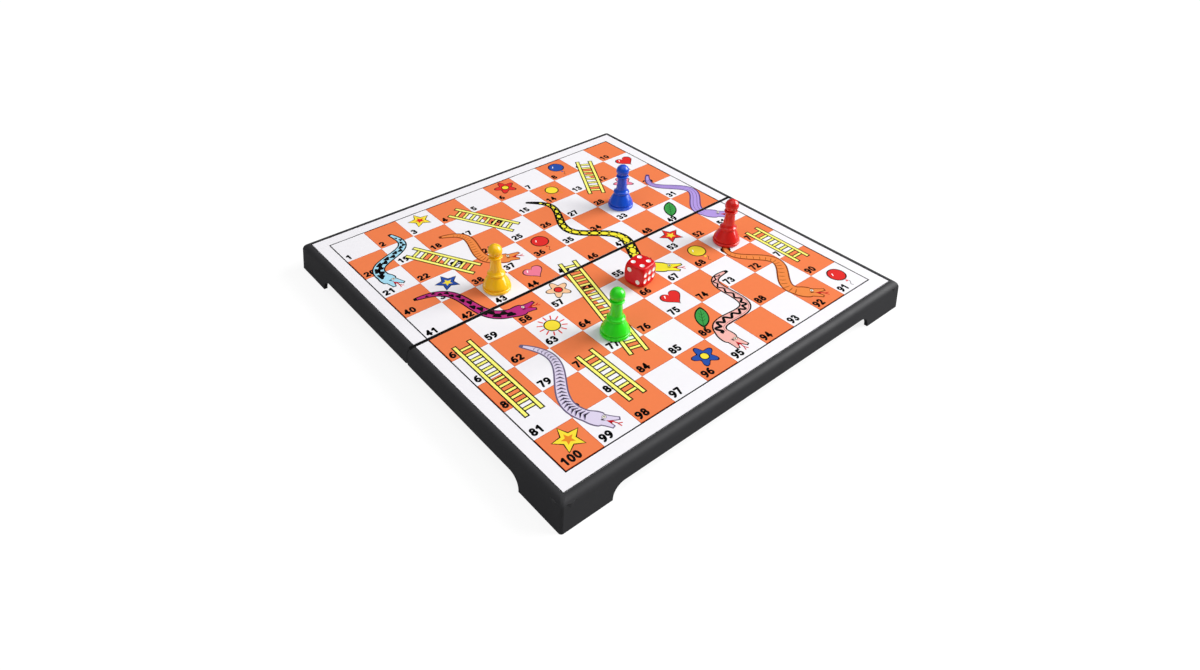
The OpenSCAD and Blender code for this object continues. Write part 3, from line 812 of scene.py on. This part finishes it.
def head(route, code, edge_code):
    """Two bent jaws over a dark red mouth, a forked tongue, and an eye with its pupil. Each
    jaw's side, length and spread are given; it spreads and thins as powers of its length."""
    line, run = snake_line(route, [0.0])
    axes = np.array([-run[0], [run[0][1], -run[0][0]]])

    def place(points):
        return line[0] + np.asarray(points, float) * MM @ axes

    way = np.linspace(0, 1, 14)
    shapes = []
    for side, length, spread in JAWS:
        aside = side * (JAW_ASIDE + spread * way ** 1.6)
        jaw = place(np.column_stack([length * way - JAW_ROOT, aside]))
        thick = (JAW_THICK - JAW_THINNING * way ** 1.2) * MM
        shapes.append(ribbon(jaw, thick + EDGE * 0.8, 3, edge_code))
        shapes.append(ribbon(jaw[:-1], thick[:-1], 5, code))
    shapes.append(patch(place(MOUTH), place((1.0, 0)), 4, MOUTH_RED))
    shapes.append(pen(place(TONGUE), 0.3 * MM, 6, TONGUE_RED))
    for fork in FORKS:
        shapes.append(pen(place([(5.3, -0.1), fork]), 0.24 * MM, 6, TONGUE_RED))
    for radius, layer, eye_code in ((1.15, 5, edge_code), (0.88, 6, EYE_WHITE), (0.44, 7, BLACK)):
        shapes.append(patch(place(ROUND * radius + EYE), place(EYE), layer, eye_code))
    return shapes


SNAKES = [
    (((6.5, 6.5), (5.5, 1.5), 2.0), SNAKE_YELLOW, BLACK, ovals),
    (((9.5, 5.5), (9.5, 2.5), 1.5), "b49be0", "54427a", stripes),
    (((0.5, 2.5), (1.5, 0.5), 1.0), "a8dcf0", BLACK, blotches),
    (((5.5, 9.5), (7.5, 7.5), 1.5), "f3b8b0", BLACK, zigzag),
    (((1.5, 9.5), (1.5, 6.5), 1.0), "dcd2ea", "6a5f7c", chevrons),
    (((2.5, 5.5), (0.5, 3.5), 1.0), "b8327e", BLACK, blotches),
    (((3.5, 3.5), (2.5, 1.5), 1.0), "ec8a48", "7c3414", creases),
    (((8.5, 9.5), (8.5, 6.5), 1.5), "ec8a48", "7c3414", creases)]
snake_shapes = []
for route, code, edge_code, marked in SNAKES:
    snake_shapes += body(route, code, edge_code) + marked(route) + head(route, code, edge_code)
printed("snake_print", snake_shapes, "snakes")

# %% [markdown]
# Between the ladders and snakes, some squares carry a small bright picture. These are
# plain signs that anyone might draw: stars, flowers, hearts, suns, balloons and leaves.
# Each is a patch whose rim follows a simple rule of the angle, with a black outline under
# it and a detail over it.

# %% Small pictures
RED, BLUE, SUN, SKIN, LEAF, PINK = "e0312f", "2c51a8", "f7df3f", "f6c79c", "3f9d4b", "f07f9a"
AMBER, VEIN_GREEN = "e8892c", "1c5a28"
FULL = np.arange(60) * 2 * math.pi / 60


def two_coats(centre, reach, code, turn=0.0):
    """Black blot and a coloured one on it, smaller by the ink line."""
    return [blot(centre, reach + INK_LINE, 3, BLACK, turn), blot(centre, reach, 4, code, turn)]


def gleam(centre, size, ends, code):
    """Short stroke of light with the pen."""
    return [pen(centre + np.array(ends) * size, 0.3 * MM, 5, code)]


def star(centre, size, code, detail):
    """Ten reaches in turn, long and short, and a smaller star on it."""
    reach = np.where(np.arange(10) % 2, 0.45, 1.0) * size
    small = blot(centre, reach * 0.45, 5, detail, math.pi / 2)
    return two_coats(centre, reach, code, math.pi / 2) + [small]


def flower(centre, size, code, detail):
    """Reach that swells five times round as a cosine, with a ringed disc in the middle."""
    reach = size * (0.76 + 0.24 * np.cos(5 * FULL))
    return two_coats(centre, reach, code, math.pi / 2) + [
        blot(centre, np.full(24, 0.38 * size), 5, BLACK),
        blot(centre, np.full(24, 0.3 * size), 6, detail)]


def heart(centre, size, code, detail):
    """The well known heart curve: cube of a sine across, and four cosines up."""
    angle = FULL[::-1]
    up = (13 * np.cos(angle) - 5 * np.cos(2 * angle) - 2 * np.cos(3 * angle)
          - np.cos(4 * angle))
    curve = np.column_stack([16 * np.sin(angle) ** 3, up]) / 17
    return [patch(centre + curve * (size + INK_LINE), centre, 3, BLACK),
            patch(centre + curve * size, centre, 4, code)] + gleam(
                centre, size, [(-0.55, 0.25), (-0.4, 0.5)], detail)


def sun(centre, size, code, detail):
    """Disc with twelve rays."""
    rays = [pen(centre + np.outer([0.74, 1.1], ahead) * size, 0.36 * MM, 3, detail)
            for ahead in compass(np.arange(12) * math.pi / 6)]
    return rays + two_coats(centre, np.full(36, 0.56 * size), code)


print("shapes in a star, a flower, a heart and a sun:", [
    len(draw(np.zeros(2), 5 * MM, SUN, RED)) for draw in (star, flower, heart, sun)])

# %% [markdown]
# A balloon and a leaf take a few more strokes: a knot and a string that sways, and veins
# that leave the middle one in pairs. The leaf is drawn in axes of its own, so that it can
# lie aslant.

# %% Balloon and leaf
def balloon(centre, size, code, detail):
    """Egg whose reach grows upwards as a sine, a knot, and a string that sways."""
    way = np.linspace(0, 1, 12)
    string = centre + np.column_stack([0.16 * np.sin(6 * way), -0.98 - 0.75 * way]) * size
    knot = centre + np.array([[-0.16, -1.08], [0.16, -1.08], [0, -0.8]]) * size
    return ([ribbon(string, 0.14 * MM, 3, BLACK), patch(knot, knot.mean(axis=0), 4, code)]
            + two_coats(centre, size * (0.78 + 0.1 * np.sin(FULL)), code)
            + gleam(centre, size, [(-0.36, 0.2), (-0.22, 0.42)], detail))


def leaf(centre, size, code, detail):
    """Two bows that meet in points: a cosine along, and across it a sine times the root of
    its own size, which is slimmer near the points. Side veins leave the middle one."""
    turn = math.radians(50)
    axes = np.array([[math.cos(turn), math.sin(turn)], [-math.sin(turn), math.cos(turn)]])
    bows = np.column_stack([np.cos(FULL), np.sin(FULL) * np.abs(np.sin(FULL)) ** 0.5])

    def rim(extra):
        return centre + bows * [size + 2.2 * extra, 0.46 * size + extra] @ axes

    def vein(ends, half):
        return pen(centre + np.array(ends) @ axes * size, half, 5, detail)

    veins = [vein([(-1.35, 0), (0.75, 0)], 0.17 * MM)]
    for start in (-0.5, -0.15, 0.2):
        for side in (-0.22, 0.22):
            veins.append(vein([(start, 0), (start + 0.28, side)], 0.11 * MM))
    return [patch(rim(INK_LINE), centre, 3, BLACK), patch(rim(0), centre, 4, code)] + veins


print("shapes in a balloon and a leaf:", [
    len(draw(np.zeros(2), 5 * MM, SUN, RED)) for draw in (balloon, leaf)])

# %% [markdown]
# The pictures stand on squares between the ladders and snakes, a little off the middle of
# a square, because the number needs its corner. The table gives sign, column, row, size
# and the colours of the sign and of its detail.

# %% Set the pictures on the field
PICTURE_PLACE, PICTURE_SCALE = (0.56, 0.40), 1.38 * MM
PICTURES = [
    (star, 2, 0, 5.2, SUN, RED), (flower, 5, 0, 5.2, RED, SUN),
    (balloon, 7, 0, 4.6, BLUE, WHITE), (heart, 9, 1, 4.6, RED, WHITE),
    (sun, 6, 1, 5.2, SUN, AMBER), (flower, 8, 2, 4.8, PINK, SUN),
    (balloon, 4, 3, 4.6, RED, WHITE), (star, 1, 3, 5.0, BLUE, SUN),
    (leaf, 8, 4, 5.4, LEAF, VEIN_GREEN), (heart, 3, 4, 4.4, PINK, WHITE),
    (star, 7, 5, 5.2, RED, SUN), (flower, 3, 5, 5.0, SKIN, RED),
    (sun, 2, 6, 5.2, SUN, RED), (balloon, 7, 6, 4.6, SUN, WHITE),
    (heart, 5, 7, 4.6, RED, WHITE), (leaf, 5, 8, 5.2, LEAF, VEIN_GREEN),
    (flower, 4, 9, 5.0, BLUE, SUN), (balloon, 9, 9, 4.6, RED, WHITE),
    (star, 0, 9, 5.6, SUN, AMBER)]
picture_shapes = []
for draw, column, row, size, code, detail in PICTURES:
    centre = at(column + PICTURE_PLACE[0], row + PICTURE_PLACE[1])
    picture_shapes += draw(centre, size * PICTURE_SCALE, code, detail)
printed("picture_print", picture_shapes)

# %% [markdown]
# A peg is turned work in shape, though it is moulded: a foot disc, a groove, a bell with
# nearly straight sides, a bead round its waist, a tapering stem, a collar and a ball. So
# it is one half section, carried round its axis. The section also goes into the foot,
# where the magnet sits in its recess.

# %% The half section of a peg
RECESS_R, RECESS_TOP = 3.05, 2.05
BELL_FOOT, BELL_TOP = (7.72, 3.0), (4.5, 9.0)
SLOPE_FOOT, STEM_FOOT, STEM_TOP = (4.26, 10.98), (3.4, 12.6), (2.7, 20.15)
BALL_MIDDLE, BALL_R, PEG_TOP = 24.5, 4.0, 28.5


def between(foot, top, thinning, rise):
    """Points between two radii and two heights: at nought each share is at the foot, and at
    one it is at the top."""
    return foot + np.column_stack([thinning, rise]) * (np.array(top) - foot)


def peg_section():
    """Radius and height from the recess roof under the foot to the top of the ball, in
    millimetres."""
    way = np.linspace(0, 1, 26)
    on = way[1:]
    slow = way[::4]
    return np.vstack([
        [(0, RECESS_TOP), (RECESS_R, RECESS_TOP), (RECESS_R, 0.25)],
        arc((3.25, 0.20), (0.2, 0.2), 180, 270, 4),      # soft edge of the recess
        arc((7.35, 0.65), (0.65, 0.65), -90, 0, 8),      # foot disc, from below
        arc((7.35, 1.55), (0.65, 0.65), 0, 90, 8),       # foot disc, upper edge
        arc((7.35, 2.52), (0.42, 0.30), 250, 115, 9),    # groove
        arc((7.45, 3.00), (0.27, 0.20), -70, 0, 5),      # lip of the bell
        between(BELL_FOOT, BELL_TOP, on ** 1.2, on),
        arc((4.00, 10.00), (1.00, 1.00), -62, 72, 20),   # bead round the waist
        between(SLOPE_FOOT, STEM_FOOT, 1 - (1 - slow) ** 1.3, slow),
        between(STEM_FOOT, STEM_TOP, on, on),
        arc((3.26, 20.80), (0.64, 0.64), -100, 100, 14), # collar
        arc((0, BALL_MIDDLE), (BALL_R, BALL_R), -48, 89, 34),
        [(0, PEG_TOP)]])


SECTION = peg_section()
print("half section of", len(SECTION), "points, widest %.2f mm" % SECTION[:, 0].max())

# %% [markdown]
# Carrying the section round gives rings of points, and the two ends on the axis are
# single points, so the surface is closed. A moulded peg also has a fine line where the
# two mould halves met, a ridge a few hundredths of a millimetre high on two sides. The
# points of a ring are closer together there, so that the ridge has room to be narrow.
# Each peg is turned a different way, as a hand sets them down.

# %% Pegs
SPOKES, DRAWN_IN = 144, 0.46
RIDGE, RIDGE_WIDTH, RIDGE_FOOT, RIDGE_TOP = 0.045, 0.016, 3.2, 27.6
FIRST_TURN, NEXT_TURN = 0.6, 1.1


def revolve(section, middle, foot, turn):
    """Rings of the half section about an upright axis, and one point at each end. The
    angles are drawn together at both mould lines by a sine of twice the angle, and the
    ridge is a bell curve of the distance from those lines."""
    even = np.arange(SPOKES) * 2 * math.pi / SPOKES
    angle = even - DRAWN_IN * np.sin(2 * even)
    ridge = RIDGE * np.exp(-(np.sin(angle) / RIDGE_WIDTH) ** 2 / 8)
    side = section[1:-1]
    ridged = (side[:, 1] > RIDGE_FOOT) & (side[:, 1] < RIDGE_TOP)
    radius = side[:, :1] + np.outer(ridged, ridge)
    rings = np.stack([radius * np.cos(angle + turn), radius * np.sin(angle + turn),
                      np.repeat(side[:, 1:], SPOKES, axis=1)], axis=-1).reshape(-1, 3)
    ends = [(0, 0, section[0, 1]), (0, 0, section[-1, 1])]
    return np.concatenate([rings, ends]) * MM + [*middle, foot], revolve_faces(len(side))


def revolve_faces(rows):
    """Quads between neighbouring rings and a fan to each end point."""
    here = np.arange(SPOKES)
    ahead = (here + 1) % SPOKES
    top, ends = (rows - 1) * SPOKES, rows * SPOKES
    quads = ring_quads(rows, SPOKES)[:, [0, 3, 2, 1]]
    low_fan = np.column_stack([ahead, here, np.full(SPOKES, ends)])
    high_fan = np.column_stack([top + here, top + ahead, np.full(SPOKES, ends + 1)])
    return quads.tolist() + low_fan.tolist() + high_fan.tolist()


for number, (colour_name, peg_plastic) in enumerate(PEG_PLASTICS.items()):
    node = colour_name + "_peg"
    peg_low, peg_high = (np.array(corner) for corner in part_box(node))
    points, faces = revolve(SECTION, (peg_low + peg_high)[:2] / 2, peg_low[2],
                            FIRST_TURN + NEXT_TURN * number)
    mesh = new_mesh(node + "_turned", points, faces, smooth=True)
    mesh.set_sharp_from_angle(angle=math.radians(48))
    new_piece(node + "_body", mesh, peg_plastic, node, [node])
    print(node, "%.2f mm high" % ((peg_high[2] - peg_low[2]) / MM), len(faces), "faces")

# %% [markdown]
# The die is a cube that was tumbled until its corners are ball shaped while its faces
# stay flat. Its surface is six grids. Each point looks out from the middle of the die in
# one direction, and the distance in that direction is a blend of two well known shapes: a
# cube with softened edges, and a ball a little wider than the cube. Where a pip sits, the
# grid is pressed in along the face's direction. A face is given by the directions of its
# two axes, whose cross product points outward, and by the places of its pips.

# %% Die
die_low, die_high = (np.array(corner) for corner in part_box("die"))
DIE_HALF = (die_high[2] - die_low[2]) / 2
DIE_BALL, DIE_TURN, DIE_GRID = 9.55 * MM, math.radians(11), 100
CUBE_POWER, BLEND_POWER, GRID_SPREAD = 14, 24, 0.98
PIP_STEP, PIP_REACH, PIP_DEPTH, PIP_PAINT = np.array([3.0, 1.50, 0.55, 1.38]) * MM
RIGHT, FAR, UP = np.eye(3)
DIE_FACES = [
    (RIGHT, FAR, [(-1, -1), (-1, 1), (1, -1), (1, 1)]),
    (RIGHT, -FAR, [(-1, 1), (0, 0), (1, -1)]),
    (RIGHT, UP, [(-1.3, -0.7), (0, -0.7), (1.3, -0.7), (-1.3, 0.7), (0, 0.7), (1.3, 0.7)]),
    (RIGHT, -UP, [(0, 0)]),
    (UP, FAR, [(-1, -1), (1, 1)]),
    (-UP, FAR, [(-1, -1), (-1, 1), (0, 0), (1, -1), (1, 1)])]


def tumbled(direction):
    """Point on the die in a direction: the reach is a soft least of a cube, as a high power
    sum of the direction, and of a ball."""
    direction = direction / np.linalg.norm(direction, axis=-1, keepdims=True)
    cube = DIE_HALF / (np.abs(direction) ** CUBE_POWER).sum(axis=-1) ** (1 / CUBE_POWER)
    reach = (cube ** -BLEND_POWER + DIE_BALL ** -BLEND_POWER) ** (-1 / BLEND_POWER)
    return direction * reach[..., None]


def bowl(distance):
    """Depth of a pip's bowl at a distance from its middle: one less the square of the share
    of its reach, to the power of three quarters, and nothing outside."""
    return PIP_DEPTH * np.clip(1 - (distance / PIP_REACH) ** 2, 0, 1) ** 0.75


def die_face(right, up, pips):
    """Grid of directions over one face, taken to the die's surface and pressed in."""
    out = np.cross(right, up)
    half_view = math.pi / 4 * GRID_SPREAD
    spacing = np.tan(np.linspace(-half_view, half_view, DIE_GRID)) / math.tan(half_view)
    across, along = np.meshgrid(spacing, spacing, indexing="ij")
    surface = tumbled(along[..., None] * right + across[..., None] * up + out)
    depth = np.zeros_like(along)
    for pip in pips:
        depth = np.maximum(depth, bowl(np.hypot(surface @ right - pip[0] * PIP_STEP,
                                                surface @ up - pip[1] * PIP_STEP)))
    return (surface - depth[..., None] * out).reshape(-1, 3)


def set_down(points):
    """Turn the die about its upright axis and put it at its place on the board."""
    turn = np.array([[math.cos(DIE_TURN), -math.sin(DIE_TURN), 0],
                     [math.sin(DIE_TURN), math.cos(DIE_TURN), 0], [0, 0, 1]])
    return points @ turn.T + (die_low + die_high) / 2


corner = np.arange(DIE_GRID ** 2).reshape(DIE_GRID, DIE_GRID)[:-1, :-1].ravel()
grid = np.column_stack([corner, corner + 1, corner + DIE_GRID + 1, corner + DIE_GRID])
die_points = np.concatenate([die_face(*face) for face in DIE_FACES])
die_quads = np.concatenate([grid + number * DIE_GRID ** 2 for number in range(len(DIE_FACES))])
die_mesh = new_mesh("tumbled_die", set_down(die_points), die_quads.tolist(), smooth=True)
work = bmesh.new()
work.from_mesh(die_mesh)
bmesh.ops.remove_doubles(work, verts=work.verts, dist=0.0005 * MM)
work.to_mesh(die_mesh)
work.free()
new_piece("die_body", die_mesh, die_plastic, "die", ["die"])
print("die", len(die_mesh.polygons), "faces,", len(die_mesh.vertices), "points")

# %% [markdown]
# The pips are paint that was let run into the bowls, so each is a shallow dish with a
# round edge, lying just above the bowl's floor. A dish is rings of points around its
# middle. Its underside is a second dish a little lower, so that it is closed.

# %% Pips
DISH_RINGS, DISH_SPOKES = np.array([0.25, 0.5, 0.72, 0.88, 1.0]) * PIP_PAINT, 28
DISH_TOP, DISH_UNDER = 0.05 * MM, -0.10 * MM


def dish(right, up, pip):
    """Rings that keep one height over the bowl's floor, the same again below it, and the
    faces between them."""
    angle = np.arange(DISH_SPOKES) * 2 * math.pi / DISH_SPOKES
    sheets = []
    for rise in (DISH_TOP, DISH_UNDER):
        height = np.repeat(DIE_HALF - bowl(DISH_RINGS) + rise, DISH_SPOKES)
        sheets += [[(0, 0, DIE_HALF - PIP_DEPTH + rise)],
                   np.column_stack([np.outer(DISH_RINGS, np.cos(angle)).ravel(),
                                    np.outer(DISH_RINGS, np.sin(angle)).ravel(), height])]
    local = np.vstack(sheets) + [pip[0] * PIP_STEP, pip[1] * PIP_STEP, 0]
    return local @ np.array([right, up, np.cross(right, up)]), dish_faces(), ink(WHITE)


def dish_faces():
    """Fan and quads of the upper sheet, the same of the lower sheet turned round, and the
    wall between their edges."""
    here = np.arange(DISH_SPOKES)
    ahead = (here + 1) % DISH_SPOKES
    fan = np.column_stack([np.zeros(DISH_SPOKES, int), 1 + here, 1 + ahead])
    quads = 1 + ring_quads(len(DISH_RINGS), DISH_SPOKES)
    sheet = 1 + len(DISH_RINGS) * DISH_SPOKES
    rim = sheet - DISH_SPOKES
    wall = np.column_stack([rim + here, rim + sheet + here, rim + sheet + ahead, rim + ahead])
    return (fan.tolist() + quads.tolist() + (fan[:, ::-1] + sheet).tolist()
            + (quads[:, ::-1] + sheet).tolist() + wall.tolist())


pips = [dish(right, up, pip) for right, up, places in DIE_FACES for pip in places]
pip_points, pip_faces, _ = join_shapes(pips)
pip_mesh = new_mesh("painted_pips", set_down(pip_points), pip_faces, smooth=True)
pip_mesh.set_sharp_from_angle(angle=math.radians(50))
new_piece("die_painted_pips", pip_mesh, pip_paint, "die", ["die_pips"])
print(len(pips), "pips")

# %% [markdown]
# The board stands on a pale studio floor. For the camera the floor glows, a little more
# with distance, so it reads as white paper. The rest of its brightness is real light on
# grey, which keeps a soft shadow under the board. In the gloss of the pieces it hardly
# glows, so that dark walls stay dark.

# %% Floor
FLOOR_HALF, FLOOR_GAP = 6.0, 0.02 * MM
PAPER_GREY, GLOW_IN_GLOSS = 0.2, 0.1
floor_material = bpy.data.materials.new("studio_floor")
tree = empty_tree(floor_material)
seen = add_node(tree, "LightPath").outputs
rays = reckon(tree, "MULTIPLY_ADD", seen["Is Glossy Ray"], GLOW_IN_GLOSS,
              seen["Is Camera Ray"])
distance = add_node(tree, "VectorMath", {0: add_node(tree, "TexCoord").outputs["Object"]},
                    operation="LENGTH").outputs["Value"]
whiter = add_node(tree, "MapRange", {
    "Value": distance, "From Min": 0.4, "From Max": 3.0, "To Min": 0.86, "To Max": 1.0},
    interpolation_type="SMOOTHSTEP").outputs["Result"]
paper = add_node(tree, "BsdfDiffuse", {"Color": (PAPER_GREY, PAPER_GREY, PAPER_GREY, 1)})
glow = add_node(tree, "Emission", {
    "Color": (1, 1, 1, 1), "Strength": reckon(tree, "MULTIPLY", rays, whiter)})
both = add_node(tree, "AddShader", {0: paper.outputs["BSDF"], 1: glow.outputs["Emission"]})
add_node(tree, "OutputMaterial", {"Surface": both.outputs["Shader"]})

corners = np.array([(-1, -1, 0), (1, -1, 0), (1, 1, 0), (-1, 1, 0)]) * FLOOR_HALF
floor_mesh = new_mesh("floor_plane", corners, [[0, 1, 2, 3]])
floor_mesh.materials.append(floor_material)
floor = new_object("studio_floor", floor_mesh)
floor.location.z = cad_box[0][2] - FLOOR_GAP
print("floor at %.3f mm" % (floor.location.z / MM))

# %% [markdown]
# The world is a dome that the camera sees as white and that lights only weakly. A wide
# key lamp stands far out on the right, where the pegs' highlights show it, and a weak lamp
# hangs overhead. A third lamp from the left fills the dark side of the walls. It would
# draw a second highlight on every peg, so it is left out of the gloss.

# %% World and lamps
DOME_LIGHT = 0.15
world = bpy.data.worlds.new("studio")
bpy.context.scene.world = world
tree = empty_tree(world)
brightness = add_node(tree, "MapRange", {
    "Value": add_node(tree, "LightPath").outputs["Is Camera Ray"], "To Min": DOME_LIGHT,
    "To Max": 1.0})
dome = add_node(tree, "Background", {
    "Color": (1, 1, 1, 1), "Strength": brightness.outputs["Result"]})
add_node(tree, "OutputWorld", {"Surface": dome.outputs["Background"]})


def aim(holder, place, forward):
    """Put a lamp or a camera at a place, and turn it so that it looks forward."""
    holder.location = place
    holder.rotation_mode = "QUATERNION"
    holder.rotation_quaternion = forward.to_track_quat("-Z", "Y")


def lamp(name, place, size, power, mirrored=True):
    """Square area lamp at a place, turned towards the board. One that isn't mirrored only
    lights, and shows in no gloss."""
    light = bpy.data.lights.new(name, "AREA")
    light.size = size
    light.energy = power
    holder = new_object(name, light)
    holder.visible_glossy = mirrored
    aim(holder, place, -Vector(place))
    print(name, "%.1f W" % power)


lamp("overhead_lamp", (0.05, -0.05, 1.25), size=1.4, power=5.2)
lamp("key_lamp", (1.98, -0.95, 1.20), size=1.8, power=92.0)
lamp("fill_lamp", (-1.9, -0.20, 0.8), size=1.4, power=12.0, mirrored=False)

# %% [markdown]
# The photograph was taken from the near left, a little under half a metre from the
# board's middle and looking down steeply, with a fairly wide lens. The picture is a cut
# from a larger one, which a small sideways shift of the lens repeats.

# %% Camera
CAMERA_PLACE = (-0.24658, -0.26953, 0.26957)
YAW, PITCH = math.radians(38.67), math.radians(40.19)
camera_data = bpy.data.cameras.new("studio_camera")
camera_data.sensor_width = 36.0
camera_data.lens = 22.815
camera_data.shift_x = 0.042
camera_data.clip_start = 0.01
camera_data.dof.use_dof = False
camera = new_object("studio_camera", camera_data)
level_reach = math.cos(PITCH)
aim(camera, CAMERA_PLACE, Vector((math.sin(YAW) * level_reach, math.cos(YAW) * level_reach,
                                  -math.sin(PITCH))))
bpy.context.scene.camera = camera
bpy.context.scene.view_settings.view_transform = "Standard"
print("camera at", CAMERA_PLACE, "lens", camera_data.lens)

# %% [markdown]
# Last, the CAD box is printed. Everything made here lies on or in the parts, so the
# finished model's box should agree with it to within a fraction of a millimetre.

# %% Print the CAD box and finish
print("CAD box", [[round(v / MM, 2) for v in corner] for corner in cad_box])
